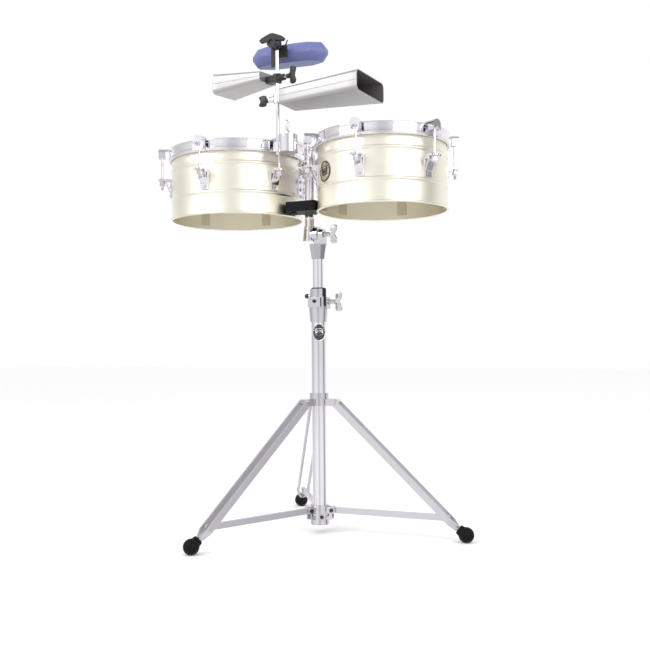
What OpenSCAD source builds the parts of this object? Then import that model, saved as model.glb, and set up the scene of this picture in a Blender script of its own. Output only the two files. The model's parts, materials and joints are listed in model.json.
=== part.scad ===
// Timbales: two open-bottomed drums on a folding tripod stand, with two bells and a block
// Millimetres, +Z up, the front is -Y, the large drum is at -X

/* [Placing] */
// Stand axis from the origin, along X
stand_x = 11.6; // [0:0.1:60]
// Stand axis from the origin, along Y
stand_y = 10.1; // [-30:0.1:30]

/* [Tripod] */
// Turn of the second leg about the stand
leg_turn = 3; // [-60:1:60]
// Radius at which the balls of the feet stand
foot_reach = 387; // [340:1:430]
// Diameter of a ball foot
ball_d = 39; // [30:0.5:50]
// Height of the ball's centre, which leaves a small flat underneath
ball_z = 18.5; // [14:0.5:22]
// Radius of the leg's top pivot
leg_pivot_r = 46; // [36:0.5:60]
// Height of the leg's top pivot
leg_pivot_z = 340; // [300:1:400]
// Radius of the pivot that joins leg and brace
knee_r = 340; // [280:1:350]
// Height of the pivot that joins leg and brace
knee_z = 58; // [40:1:80]
// Width of a leg bar seen from the side
leg_bar_w = 16; // [12:0.5:20]
// Thickness of a leg bar
leg_bar_t = 5.5; // [4:0.5:8]
// Clear gap between the two bars of a leg
leg_gap = 24; // [18:0.5:30]
// Width of a brace seen from the side
brace_w = 15; // [10:0.5:18]
// Thickness of a brace
brace_t = 9; // [5:0.5:12]
// Radius of the brace's pivot on the sliding hub
hub_pivot_r = 36; // [30:0.5:45]
// Height of the brace's pivot on the sliding hub
hub_pivot_z = 60; // [45:1:80]

/* [Tubes] */
// Outside diameter of the base tube
base_tube_d = 38.1; // [30:0.1:45]
// Wall of the base tube
base_tube_wall = 2; // [1.2:0.1:3]
// Height of the base tube's top end
base_tube_top = 592; // [540:1:640]
// Outside diameter of the upper tube
upper_tube_d = 28.6; // [22:0.1:33]
// Lower end of the upper tube, inside the base tube
upper_tube_low = 400; // [300:1:500]
// Outside diameter of the drum post
post_d = 25.4; // [19:0.1:30]
// Offset of the drum post from the stand axis
post_off = 23; // [18:0.5:32]
// Top of the drum post
post_top = 1014; // [990:1:1040]

/* [Height clamp] */
// Lower end of the clamp's tapered sleeve
clamp_low = 550; // [530:1:570]
// Lower face of the clamp's block
clamp_block_low = 586; // [575:1:595]
// Upper face of the clamp's block
clamp_block_top = 616; // [605:1:625]
// Upper end of the clamp's ring
clamp_top = 637; // [628:1:650]

/* [Tilter] */
// Lower end of the tilter's casting
tilter_low = 715; // [700:1:730]
// Upper end of the tilter's sleeve
tilter_sleeve_top = 755; // [745:1:765]
// Height of the tilting axis
tilt_z = 780; // [770:1:790]
// Radius of the toothed discs
ratchet_r = 21; // [16:0.5:26]
// Number of teeth on the discs
ratchet_teeth = 24; // [12:1:36]

/* [Drums] */
// Diameter of the large drum's shell
left_d = 355.6; // [330:0.1:381]
// Diameter of the small drum's shell
right_d = 330.2; // [305:0.1:356]
// Depth of both shells
shell_depth = 174; // [140:1:200]
// Lower edge of both shells
shell_low = 828; // [810:1:850]
// Thickness of the shell metal
shell_wall = 1.6; // [1:0.1:2.5]
// How far the shell's beads stand out
bead_out = 2.4; // [1.5:0.1:6]
// Height of the lower bead
bead_low = 886; // [870:1:895]
// Height of the upper bead
bead_high = 961; // [952:1:966]
// Gap from a shell to the axis of the drum post
standoff = 40.7; // [36:0.1:50]
// Height of a hoop
hoop_h = 31; // [26:1:42]
// Distance of a tension rod's axis from the shell
rod_off = 26; // [20:0.5:30]
// Diameter of a tension rod
rod_d = 6; // [5:0.5:8]
// Height of the shelf under which the tension nut sits
shelf_z = 938; // [915:1:945]

/* [Bells and block] */
// Accessory rod's axis from the stand axis, along X
rail_x = -49; // [-70:0.5:-30]
// Accessory rod's axis from the stand axis, along Y
rail_y = -130; // [-150:0.5:-110]
// Diameter of the accessory rod
rail_d = 9.6; // [8:0.1:12]
// Upper end of the accessory rod
rail_top = 1262; // [1200:1:1280]
// Axis of the holder's round body, along X
holder_x = -21; // [-26:0.5:-10]
// Length of the large bell
big_bell_l = 232; // [200:1:260]
// Length of the small bell
small_bell_l = 156; // [120:1:170]
// Height of the large bell's clamp
big_bell_z = 1114; // [1090:1:1130]
// Height of the small bell's clamp
small_bell_z = 1166; // [1160:1:1190]
// Turn of the large bell about the rod
big_bell_turn = -4; // [-20:1:20]
// Turn of the small bell about the rod
small_bell_turn = 165; // [140:1:190]
// Length of the block
block_l = 205; // [180:1:230]
// Width of the block
block_w = 75; // [60:1:90]
// Height of the block
block_h = 48; // [38:1:60]
// Height of the block's middle
block_z = 1242; // [1225:1:1255]
// Turn of the block about the rod
block_turn = 5; // [-20:1:20]
// Span of the T-handle's two wings
handle_span = 68; // [50:1:80]

/* [Fits] */
// Radial clearance where one part turns or slides in another
run = 0.05; // [0.02:0.01:0.1]
// Gap between faces of parts that move past each other
gap = 0.3; // [0.2:0.05:0.6]

/* [Hidden] */
$fn = 48;
base_r = base_tube_d / 2;
upper_r = upper_tube_d / 2;
post_r = post_d / 2;
rail_r = rail_d / 2;
ball_r = ball_d / 2;
left_r = left_d / 2;
right_r = right_d / 2;
left_x = -(post_off + standoff + left_r);
right_x = -post_off + standoff + right_r;
shell_top = shell_low + shell_depth;
leg_dr = knee_r - leg_pivot_r;
leg_dz = leg_pivot_z - knee_z;
leg_angle = atan2(leg_dr, leg_dz);
leg_l = sqrt(leg_dr * leg_dr + leg_dz * leg_dz);
brace_dr = knee_r - hub_pivot_r;
brace_dz = hub_pivot_z - knee_z;
brace_angle = atan2(brace_dr, brace_dz);
brace_l = sqrt(brace_dr * brace_dr + brace_dz * brace_dz);
// The ball's centre seen from the knee, across and along the leg
foot_across = (foot_reach - knee_r) * cos(leg_angle) + (ball_z - knee_z) * sin(leg_angle);
foot_along = (foot_reach - knee_r) * sin(leg_angle) - (ball_z - knee_z) * cos(leg_angle);
toe_across = 0;
toe_along = 36;
toe_tilt = -atan2(foot_across - toe_across, foot_along - toe_along + 2);
pivot_r = 4;
wing_bolt_r = 3;
holder_low = 975;
hoop_low = shell_top - 13;
lug_angles = [31.5, 91.5, 151.5, 211.5, 271.5, 331.5];
lug_screw_z = [899, 922];
bracket_screw_z = [903, 924];
left_sleeve = [932, 954];
right_sleeve = [956, 978];
collar_low = 331;
collar_top = 364;
hub_low = 22;
hub_top = 72;
clamp_bolt_z = 604;
handle_z = block_z + 4;
block_off = 10;
key_turn = -22;
clamp_bolt_y = 27;

// ---------- placing ----------

module at_stand() translate([stand_x, stand_y, 0]) children();
module at_leg(i) at_stand() rotate([0, 0, leg_turn + 120 * i]) children();
// In the leg's own frame -Z runs down the leg and +X is its outer side
module in_leg(i) at_leg(i) translate([leg_pivot_r, 0, leg_pivot_z]) rotate([0, -leg_angle, 0]) children();
module in_brace(i) at_leg(i) translate([hub_pivot_r, 0, hub_pivot_z]) rotate([0, -brace_angle, 0]) children();
module at_left() at_stand() translate([left_x, 0, 0]) children();
// The small drum is turned so that its bracket also faces +X in its own frame
module at_right() at_stand() translate([right_x, 0, 0]) rotate([0, 0, 180]) children();
module at_post() at_stand() translate([-post_off, 0, 0]) children();
module at_rail() at_stand() translate([rail_x, rail_y, 0]) children();

// ---------- small shapes ----------

// A cylinder along Y, centred
module across(r, w) rotate([90, 0, 0]) cylinder(r = r, h = w, center = true);
// A cylinder that starts at the origin and runs along X
module along_x(r, l) rotate([0, 90, 0]) cylinder(r = r, h = l);
module ring(ro, ri, z0, z1) {
    translate([0, 0, z0]) difference() {
        cylinder(r = ro, h = z1 - z0, $fn = 72);
        translate([0, 0, -1]) cylinder(r = ri, h = z1 - z0 + 2, $fn = 72);
    }
}
module cylinder_at(x, y, r, z, h) translate([x, y, z]) cylinder(r = r, h = h);
// Wing nut on an axis along X: hub, then two wings up and down
module wing_nut(bore, l, span) {
    difference() {
        union() {
            along_x(7.5, l * 0.45);
            translate([l * 0.25, -2.5, -span / 2 + 5]) cube([l * 0.5, 5, span - 10]);
            for (s = [-1, 1]) {
                translate([l * 0.72, 0, s * (span / 2 - 9)]) across(9, 5);
            }
        }
        translate([-1, 0, 0]) along_x(bore, l * 0.45 + 2);
    }
}
// Wing bolt on an axis along X: threaded shank first, then hub and wings
module wing_bolt(shank, hub, span, wide) {
    along_x(wing_bolt_r, shank + 1);
    translate([shank, 0, 0]) along_x(6, hub);
    translate([shank + hub - 1, -2.5, -span / 2 + wide / 2]) cube([wide, 5, span - wide]);
    for (s = [-1, 1]) {
        translate([shank + hub - 1 + wide / 2, 0, s * (span - wide) / 2]) across(wide / 2, 5);
    }
}

// ---------- base tube and height clamp ----------

module base_tube() {
    color([0.85, 0.85, 0.87]) at_stand() ring(base_r, base_r - base_tube_wall, 24, base_tube_top);
}

module height_clamp() {
    color([0.82, 0.82, 0.84]) at_stand() difference() {
        union() {
            translate([0, 0, clamp_low])
                cylinder(r1 = 22, r2 = 24.5, h = clamp_block_low - clamp_low, $fn = 72);
            translate([0, 0, clamp_block_low])
                cylinder(r = 24.5, h = clamp_block_top - clamp_block_low, $fn = 72);
            translate([-23, 0, clamp_block_low]) cube([42, 36, clamp_block_top - clamp_block_low]);
            translate([-19, -25, clamp_block_low + 2]) cube([36, 24, clamp_block_top - clamp_block_low - 4]);
            translate([0, 0, clamp_block_top]) cylinder(r = 21.5, h = clamp_top - clamp_block_top, $fn = 72);
            translate([-26, 0, clamp_block_top + 3]) rotate([0, 90, 0]) cylinder(r = 5.5, h = 10, $fn = 32);
        }
        // Seat of the base tube
        translate([0, 0, clamp_low - 1]) cylinder(r = base_r, h = base_tube_top - clamp_low + 1, $fn = 72);
        // Seat of the bushing above it
        translate([0, 0, base_tube_top - 1]) cylinder(r = 18, h = clamp_top, $fn = 72);
        // Slit that the clamp bolt closes
        translate([9, 0, clamp_block_low + 6]) cube([3, 60, 60]);
        translate([-30, clamp_bolt_y, clamp_bolt_z]) along_x(4, 80);
        translate([0, 0, clamp_bolt_z]) rotate([90, 0, 0]) cylinder(r = 3.5, h = 40, $fn = 32);
        translate([-40, 0, clamp_block_top + 3]) along_x(3, 30);
        // Slot for the bushing's key
        rotate([0, 0, key_turn]) translate([0, -3, clamp_block_low + 2]) cube([40, 6, 80]);
    }
}

// Bushing with a key that fills the slot in the clamp
module clamp_bushing() {
    color([0.06, 0.06, 0.07]) at_stand() difference() {
        union() {
            translate([0, 0, base_tube_top]) cylinder(r = 18, h = clamp_top + 3 - base_tube_top, $fn = 72);
            rotate([0, 0, key_turn]) translate([0, -3, base_tube_top])
                cube([26.5, 6, clamp_top + 1 - base_tube_top]);
        }
        translate([0, 0, base_tube_top - 1]) cylinder(r = upper_r + run, h = 80, $fn = 72);
    }
}

// Clamp bolt, drum-key screw on the front and stop screw on the side
module clamp_fasteners() {
    color([0.25, 0.25, 0.27]) at_stand() {
        translate([-23, clamp_bolt_y, clamp_bolt_z]) along_x(4, 60);
        translate([-28, clamp_bolt_y, clamp_bolt_z]) along_x(7, 5);
        translate([0, -25, clamp_bolt_z]) rotate([90, 0, 0]) cylinder(r = 4.5, h = 3, $fn = 32);
        translate([0, -28, clamp_bolt_z]) rotate([90, 0, 0]) cylinder(r = 3.9, h = 4, $fn = 4);
        translate([0, -18, clamp_bolt_z]) rotate([90, 0, 0]) cylinder(r = 3.5, h = 8, $fn = 32);
        translate([-32.5, 0, clamp_block_top + 3]) sphere(r = 6.5);
        translate([-32.5, 0, clamp_block_top + 3]) along_x(3, 14.5);
    }
}

module clamp_wing_nut() {
    color([0.85, 0.85, 0.87]) at_stand() translate([19 + gap, clamp_bolt_y, clamp_bolt_z])
        wing_nut(4 + run, 38, 51);
}

module stand_badge() {
    color([0.08, 0.08, 0.09]) at_stand() rotate([0, 0, -60]) intersection() {
        ring(base_r + 1.2, base_r, 490, 560);
        translate([0, 0, 523]) scale([1, 1, 1.35]) rotate([0, 90, 0]) cylinder(r = 17, h = 40, $fn = 64);
    }
}

// ---------- tripod ----------

module leg_collar() {
    color([0.82, 0.82, 0.84]) {
        difference() {
            union() {
                at_stand() translate([0, 0, collar_low])
                    cylinder(r = 25, h = collar_top - collar_low, $fn = 72);
                for (i = [0:2]) {
                    at_leg(i) {
                        translate([18, -leg_gap / 2 + gap, collar_low])
                            cube([leg_pivot_r - 18, leg_gap - 2 * gap, 18]);
                        translate([leg_pivot_r, 0, leg_pivot_z]) across(9, leg_gap - 2 * gap);
                    }
                }
            }
            at_stand() translate([0, 0, collar_low - 1]) cylinder(r = base_r, h = 60, $fn = 72);
            for (i = [0:2]) {
                at_leg(i) translate([leg_pivot_r, 0, leg_pivot_z]) across(pivot_r, 60);
            }
        }
    }
}

module collar_rivets() {
    color([0.7, 0.7, 0.72]) {
        for (i = [0:2]) {
            at_leg(i) translate([leg_pivot_r, 0, leg_pivot_z]) {
                across(pivot_r, leg_gap + 2 * leg_bar_t + 2);
                for (s = [-1, 1]) {
                    translate([0, s * (leg_gap / 2 + leg_bar_t + gap + 1), 0]) across(6, 2);
                }
            }
        }
    }
}

// Two flat bars that close in below the knee and meet in a toe
module leg() {
    difference() {
        union() {
            for (s = [-1, 1]) {
                translate([-leg_bar_w / 2, s * (leg_gap / 2 + leg_bar_t / 2) - leg_bar_t / 2, -leg_l - 12])
                    cube([leg_bar_w, leg_bar_t, leg_l + 12]);
                translate([0, s * (leg_gap / 2 + leg_bar_t / 2), 0]) across(leg_bar_w / 2, leg_bar_t);
                hull() {
                    translate([-leg_bar_w / 2, s * (leg_gap + leg_bar_t) / 2 - leg_bar_t / 2, -leg_l - 12])
                        cube([leg_bar_w, leg_bar_t, 1]);
                    translate([toe_across - 7, s * 2.5 - 2.5, -leg_l - toe_along]) cube([14, 5, 1]);
                }
                // Head of the knee rivet, closed over each bar
                translate([0, s * (leg_gap / 2 + leg_bar_t + 1), -leg_l]) across(6, 2);
            }
            translate([toe_across, 0, -leg_l - toe_along + 2]) rotate([0, toe_tilt, 0])
                translate([0, 0, -18]) cylinder(r = 6.5, h = 20);
        }
        across(pivot_r + run, 80);
    }
}

module leg_a() color([0.85, 0.85, 0.87]) in_leg(2) leg();
module leg_b() color([0.85, 0.85, 0.87]) in_leg(0) leg();
module leg_c() color([0.85, 0.85, 0.87]) in_leg(1) leg();

// Rubber ball with a short sleeve that grips the toe
module foot(i) {
    difference() {
        union() {
            at_leg(i) translate([foot_reach, 0, ball_z]) sphere(r = ball_r, $fn = 64);
            in_leg(i) translate([toe_across, 0, -leg_l - toe_along + 2]) rotate([0, toe_tilt, 0])
                translate([0, 0, -26]) cylinder(r1 = 16, r2 = 12, h = 22, $fn = 48);
        }
        in_leg(i) translate([toe_across, 0, -leg_l - toe_along + 2]) rotate([0, toe_tilt, 0])
            translate([0, 0, -18]) cylinder(r = 6.5, h = 40);
        at_leg(i) translate([foot_reach - 60, -60, -60]) cube([120, 120, 60]);
    }
}
module foot_a() color([0.07, 0.07, 0.08]) foot(2);
module foot_b() color([0.07, 0.07, 0.08]) foot(0);
module foot_c() color([0.07, 0.07, 0.08]) foot(1);

module brace() {
    difference() {
        union() {
            translate([-brace_w / 2, -brace_t / 2, -brace_l]) cube([brace_w, brace_t, brace_l]);
            across(brace_w / 2, brace_t);
            translate([0, 0, -brace_l]) across(brace_w / 2, brace_t);
        }
        across(3 + run, 40);
        translate([0, 0, -brace_l]) across(pivot_r, 40);
    }
}
module brace_a() color([0.85, 0.85, 0.87]) in_brace(2) brace();
module brace_b() color([0.85, 0.85, 0.87]) in_brace(0) brace();
module brace_c() color([0.85, 0.85, 0.87]) in_brace(1) brace();

// Casting that slides on the base tube and carries the braces
module hub() {
    color([0.82, 0.82, 0.84]) difference() {
        union() {
            at_stand() translate([0, 0, hub_low]) cylinder(r = 25, h = hub_top - hub_low, $fn = 72);
            for (i = [0:2]) {
                at_leg(i) for (s = [-1, 1]) {
                    translate([15, s * 8 - 3, hub_low + 14])
                        cube([hub_pivot_r - 15, 6, hub_top - hub_low - 18]);
                    translate([hub_pivot_r, s * 8, hub_pivot_z]) across(9, 6);
                }
            }
            at_stand() rotate([0, 0, leg_turn - 60]) translate([0, 0, 44]) along_x(7, 31);
        }
        at_stand() translate([0, 0, hub_low - 1]) cylinder(r = base_r + run, h = 80, $fn = 72);
        for (i = [0:2]) {
            at_leg(i) {
                translate([hub_pivot_r, 0, hub_pivot_z]) across(3, 60);
                translate([25.5, -5, hub_low]) cube([40, 10, 80]);
            }
        }
        at_stand() rotate([0, 0, leg_turn - 60]) translate([10, 0, 44]) along_x(3, 30);
    }
}

module hub_fasteners() {
    color([0.3, 0.3, 0.32]) {
        for (i = [0:2]) {
            at_leg(i) translate([hub_pivot_r, 0, hub_pivot_z]) {
                across(3, 24);
                for (s = [-1, 1]) {
                    translate([0, s * 12, 0]) across(5.5, 2);
                }
            }
        }
        at_stand() rotate([0, 0, leg_turn - 60]) {
            translate([base_r + gap, 0, 44]) along_x(3, 31 - base_r - gap);
            translate([31, 0, 44]) along_x(5, 2.5);
            translate([33.5, 0, 44]) rotate([0, 90, 0]) cylinder(r = 3.6, h = 5, $fn = 4);
        }
    }
}

// ---------- upper tube and tilter ----------

module upper_tube() {
    color([0.86, 0.86, 0.88]) at_stand() ring(upper_r, upper_r - 1.8, upper_tube_low, tilter_sleeve_top - 7);
}

module ratchet_teeth_ring(x0) {
    for (k = [0:ratchet_teeth - 1]) {
        rotate([k * 360 / ratchet_teeth, 0, 0]) translate([x0, -1, ratchet_r - 6]) cube([1.2, 2, 5]);
    }
}

// Faceted sleeve on the upper tube with a toothed disc on top
module tilter_base() {
    color([0.8, 0.8, 0.82]) at_stand() difference() {
        union() {
            translate([0, 0, tilter_low])
                cylinder(r1 = 17.5, r2 = 23.5, h = tilter_sleeve_top - tilter_low, $fn = 8);
            translate([-3, -16, tilter_sleeve_top - 2]) cube([22, 32, tilt_z - tilter_sleeve_top + 2]);
            translate([0, 0, tilt_z]) {
                translate([-3, 0, 0]) along_x(ratchet_r, 8);
                translate([5, 0, 0]) along_x(ratchet_r - 6, 14);
            }
        }
        translate([0, 0, tilter_low - 1])
            cylinder(r = upper_r, h = tilter_sleeve_top - 6 - tilter_low, $fn = 72);
        translate([-60, 0, tilt_z]) along_x(4, 120);
        translate([-30, -4, tilter_sleeve_top - 14]) cube([12, 8, 8]);
        translate([0, 0, tilt_z]) ratchet_teeth_ring(-3);
    }
}

module tilter_bolt() {
    color([0.75, 0.75, 0.77]) at_stand() translate([0, 0, tilt_z]) {
        translate([-7.5, 0, 0]) along_x(4, 42.5);
    }
}

module tilter_wing_nut() {
    color([0.3, 0.3, 0.32]) at_stand() translate([19 + gap, 0, tilt_z]) wing_nut(4 + run, 36, 49);
}

// Tapered socket that holds the drum post and carries the second toothed disc
module tilter_socket() {
    color([0.8, 0.8, 0.82]) at_stand() difference() {
        union() {
            translate([-post_off, 0, 764]) cylinder(r1 = 18.5, r2 = 14.5, h = 39, $fn = 64);
            translate([-8, 0, tilt_z]) along_x(ratchet_r, 5 - gap);
            translate([-16, 0, tilt_z]) along_x(ratchet_r - 5, 10);
        }
        translate([-post_off, 0, 768]) cylinder(r = post_r, h = 80, $fn = 64);
        translate([-12, 0, tilt_z]) along_x(4 + run, 40);
    }
}

module drum_post() {
    color([0.86, 0.86, 0.88]) at_post() difference() {
        translate([0, 0, 768]) cylinder(r = post_r, h = post_top - 768, $fn = 64);
        translate([0, 0, 772]) cylinder(r = post_r - 2, h = post_top, $fn = 64);
    }
}

// Moulded bumper clamped to the post, which fills the space in front of it between the two shells
module rest_bar() {
    color([0.07, 0.07, 0.08]) at_post() difference() {
        union() {
            cylinder_at(0, 0, 20, 836, 26);
            translate([0, 0, 836]) linear_extrude(26)
                polygon([[-42, 0], [-40, -20], [-40, -60], [45, -60], [45, -50], [42, 0]]);
            cylinder_at(-33, -60, 7, 836, 26);
            cylinder_at(38, -60, 7, 836, 26);
            translate([-33, -67, 836]) cube([71, 12, 26]);
            cylinder_at(-24, -46, 8, 832, 6);
        }
        translate([0, 0, 800]) cylinder(r = post_r, h = 100, $fn = 64);
        // Hollows that follow the two shells
        translate([-standoff - left_r, 0, 800]) cylinder(r = left_r + 0.6, h = 100, $fn = 120);
        translate([standoff + right_r, 0, 800]) cylinder(r = right_r + 0.6, h = 100, $fn = 120);
    }
}

// ---------- drums ----------

module shell(r) {
    difference() {
        rotate_extrude($fn = 120) difference() {
            union() {
                translate([r - shell_wall, shell_low]) square([shell_wall, shell_depth]);
                translate([r + 0.6, shell_low + 3]) circle(r = 3, $fn = 20);
                for (z = [bead_low, bead_high]) {
                    translate([r - shell_wall, z]) circle(r = bead_out + shell_wall, $fn = 24);
                }
            }
            for (z = [bead_low, bead_high]) {
                translate([r - shell_wall, z]) circle(r = bead_out, $fn = 24);
            }
            translate([0, shell_low - 10]) square([r - shell_wall, shell_depth + 20]);
        }
        for (a = lug_angles, z = lug_screw_z) {
            rotate([0, 0, a]) translate([r - 10, 0, z]) along_x(2.5, 20);
        }
        for (z = bracket_screw_z) {
            translate([r - 10, 0, z]) along_x(2.5, 20);
        }
    }
}

// Plastic film with its collar and the flesh hoop that pulls it down
module head(r) {
    rotate_extrude($fn = 120) {
        translate([0, shell_top]) square([r + 2.2, 0.8]);
        translate([r + 1.2, shell_top - 9]) square([1, 9.4]);
        translate([r + 1.2, shell_top - 12]) square([4, 5]);
    }
}

module hoop(r) {
    rotate_extrude($fn = 120) {
        translate([r + 5.8, hoop_low]) square([2.4, hoop_h - 2]);
        translate([r + 2.8, shell_top - 7]) square([4, 2.5]);
        translate([r + 7.2, hoop_low + hoop_h - 2.6]) circle(r = 2.6, $fn = 20);
        translate([r + 5.8, hoop_low]) square([3.8, 9]);
    }
}

// Hook that bends over the hoop, with the tension rod below it
module hooks(r) {
    for (a = lug_angles) {
        rotate([0, 0, a]) {
            difference() {
                union() {
                    translate([r + 1.5, 0, 1014.5]) along_x(12, 34);
                    translate([r + 1.5, -12, 1000]) cube([34, 24, 14.5]);
                }
                rotate([0, 0, -a]) rotate_extrude($fn = 120)
                    translate([r + 4.3, 960]) square([5.6, hoop_low + hoop_h + 0.2 - 960]);
                translate([r - 5, -20, 960]) cube([9.4, 40, 52]);
                translate([r + 9, -20, 960]) cube([8, 40, 58]);
                translate([r + 14, 0, 1001]) along_x(8, 40);
            }
            translate([r + rod_off, 0, 914]) cylinder(r = rod_d / 2, h = 98, $fn = 24);
        }
    }
}

module tension_nuts(r) {
    for (a = lug_angles) {
        rotate([0, 0, a]) translate([r + rod_off, 0, 0]) difference() {
            union() {
                translate([0, 0, shelf_z - 15]) cylinder(r = 7.5, h = 13, $fn = 6);
                translate([0, 0, shelf_z - 2]) cylinder(r = 8.5, h = 2, $fn = 32);
            }
            translate([0, 0, shelf_z - 20]) cylinder(r = rod_d / 2, h = 30, $fn = 24);
        }
    }
}

// Plate on the shell with a wedge-shaped pocket and a T-shaped shelf that the rod passes through
module lugs(r) {
    for (a = lug_angles) {
        rotate([0, 0, a]) difference() {
            union() {
                translate([0, 11, 0]) rotate([90, 0, 0]) linear_extrude(22) polygon([
                    [r - 3, shelf_z], [r + 17, shelf_z], [r + 17, shelf_z - 5], [r + 8, 910],
                    [r + 4, 905], [r + 4, 891.6], [r - 3, 891.6]
                ]);
                translate([r - 3, -11, shelf_z]) cube([rod_off, 22, 5.5]);
                translate([r + rod_off - 8, -16.5, shelf_z]) cube([14, 33, 5.5]);
                translate([r + rod_off, 0, shelf_z]) cylinder(r = 12, h = 5.5);
            }
            // Pocket, open at both sides
            translate([0, 20, 0]) rotate([90, 0, 0]) linear_extrude(40) polygon([
                [r + 4, shelf_z - 3.5], [r + 14, shelf_z - 3.5], [r + 5.5, 913], [r + 4, 913]
            ]);
            cylinder(r = r, h = 2000, $fn = 120);
            translate([r + rod_off, 0, shelf_z - 2]) cylinder(r = rod_d / 2 + 0.4, h = 20, $fn = 24);
            for (z = lug_screw_z) {
                translate([r - 10, 0, z]) along_x(2.5, 30);
            }
            // Way for the upper screw
            translate([r + 4, 0, lug_screw_z[1]]) along_x(4.6, 3);
        }
    }
}

// Flat strips inside the shell that back the lugs and the bracket
module strips(r) {
    ri = r - shell_wall;
    for (a = concat(lug_angles, [0])) {
        rotate([0, 0, a]) difference() {
            intersection() {
                ring(ri, ri - 2, 840, 976);
                translate([ri - 20, -13, 800]) cube([40, 26, 200]);
            }
            for (z = (a == 0) ? bracket_screw_z : lug_screw_z) {
                translate([r - 20, 0, z]) along_x(2.5, 30);
            }
        }
    }
}

module screws(r) {
    inner = r - shell_wall - 2;
    for (a = lug_angles, z = lug_screw_z) {
        rotate([0, 0, a]) translate([0, 0, z]) {
            translate([inner - 3, 0, 0]) along_x(2.5, shell_wall + 9);
            translate([r + 4, 0, 0]) along_x(4.2, 2.2);
            translate([inner - 3.1, 0, 0]) along_x(4.2, 3);
        }
    }
    for (z = bracket_screw_z) {
        translate([0, 0, z]) {
            translate([inner - 3, 0, 0]) along_x(2.5, shell_wall + 20);
            translate([r + 15, 0, 0]) along_x(4.2, 2.2);
            translate([inner - 3.1, 0, 0]) along_x(4.2, 3);
        }
    }
}

// Channel screwed to the shell, with a split sleeve around the drum post
module bracket(r, sleeve, bolt_turn) {
    h = sleeve[1] - sleeve[0];
    difference() {
        union() {
            translate([r - 5, -13, 894]) cube([12, 26, 56]);
            translate([r + 6, -13, 876]) cube([9, 26, sleeve[1] - 876]);
            translate([r + 14, -9, sleeve[0]]) cube([standoff - 20, 18, h]);
            translate([r + standoff, 0, sleeve[0]]) cylinder(r = 19, h = h, $fn = 64);
            translate([r + standoff, 0, (sleeve[0] + sleeve[1]) / 2]) rotate([0, 0, bolt_turn])
                along_x(8, 26);
        }
        cylinder(r = r, h = 2000, $fn = 120);
        translate([r + 10, -8, 880]) cube([20, 16, 8]);
        translate([r + standoff, 0, 800]) cylinder(r = post_r + run, h = 300, $fn = 64);
        translate([r + standoff, 0, (sleeve[0] + sleeve[1]) / 2]) rotate([0, 0, bolt_turn])
            along_x(wing_bolt_r + run, 40);
        for (z = bracket_screw_z) {
            translate([r - 10, 0, z]) along_x(2.5, 60);
        }
    }
}

module left_shell() color([0.93, 0.86, 0.64]) at_left() shell(left_r);
module left_head() color([0.93, 0.93, 0.9]) at_left() head(left_r);
module left_hoop() color([0.85, 0.85, 0.87]) at_left() hoop(left_r);
module left_hooks() color([0.85, 0.85, 0.87]) at_left() hooks(left_r);
module left_tension_nuts() color([0.85, 0.85, 0.87]) at_left() tension_nuts(left_r);
module left_lugs() color([0.85, 0.85, 0.87]) at_left() lugs(left_r);
module left_strips() color([0.8, 0.78, 0.7]) at_left() strips(left_r);
module left_screws() color([0.7, 0.7, 0.72]) at_left() screws(left_r);
module left_bracket() color([0.82, 0.82, 0.84]) at_left() bracket(left_r, left_sleeve, 250);
module right_shell() color([0.93, 0.86, 0.64]) at_right() shell(right_r);
module right_head() color([0.93, 0.93, 0.9]) at_right() head(right_r);
module right_hoop() color([0.85, 0.85, 0.87]) at_right() hoop(right_r);
module right_hooks() color([0.85, 0.85, 0.87]) at_right() hooks(right_r);
module right_tension_nuts() color([0.85, 0.85, 0.87]) at_right() tension_nuts(right_r);
module right_lugs() color([0.85, 0.85, 0.87]) at_right() lugs(right_r);
module right_strips() color([0.8, 0.78, 0.7]) at_right() strips(right_r);
module right_screws() color([0.7, 0.7, 0.72]) at_right() screws(right_r);
module right_bracket() color([0.82, 0.82, 0.84]) at_right() bracket(right_r, right_sleeve, 70);

module post_wing_bolt(sleeve) {
    at_post() translate([0, 0, (sleeve[0] + sleeve[1]) / 2]) rotate([0, 0, 250])
        translate([post_r + gap, 0, 0]) wing_bolt(26 - post_r, 6, 20, 12);
}
module left_wing_bolt() color([0.75, 0.75, 0.77]) post_wing_bolt(left_sleeve);
module right_wing_bolt() color([0.75, 0.75, 0.77]) post_wing_bolt(right_sleeve);

// Round plate on the small drum
module drum_badge() {
    color([0.75, 0.68, 0.5]) at_right() rotate([0, 0, 51.4]) intersection() {
        ring(right_r + 1.6, right_r, 880, 950);
        translate([right_r - 10, 0, 919]) rotate([0, 90, 0]) cylinder(r = 26, h = 30, $fn = 64);
    }
}

// ---------- holder, rod, bells and block ----------

module holder() {
    color([0.84, 0.84, 0.86]) at_stand() difference() {
        union() {
            translate([-post_off, 0, 1003]) cylinder(r = 19, h = 11, $fn = 64);
            translate([-post_off - 8, -112, 1003]) cube([16, 112, 11]);
            translate([holder_x, rail_y, holder_low]) cylinder(r = 25, h = 44, $fn = 64);
            translate([rail_x - 4, rail_y - 12, holder_low + 4]) cube([holder_x - rail_x, 24, 22]);
            translate([rail_x, rail_y, holder_low + 4]) cylinder(r = 12, h = 22);
        }
        translate([-post_off, 0, 900]) cylinder(r = post_r, h = 300, $fn = 64);
        translate([rail_x, rail_y, 900]) cylinder(r = rail_r + run, h = 200, $fn = 48);
        translate([holder_x, rail_y, holder_low + 20]) cylinder(r = wing_bolt_r + run, h = 60, $fn = 32);
    }
}

module holder_wing_bolt() {
    color([0.84, 0.84, 0.86]) at_stand() translate([holder_x, rail_y, holder_low + 20 + gap])
        rotate([0, -90, 0]) rotate([104, 0, 0]) wing_bolt(26, 8, 34, 28);
}

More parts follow.
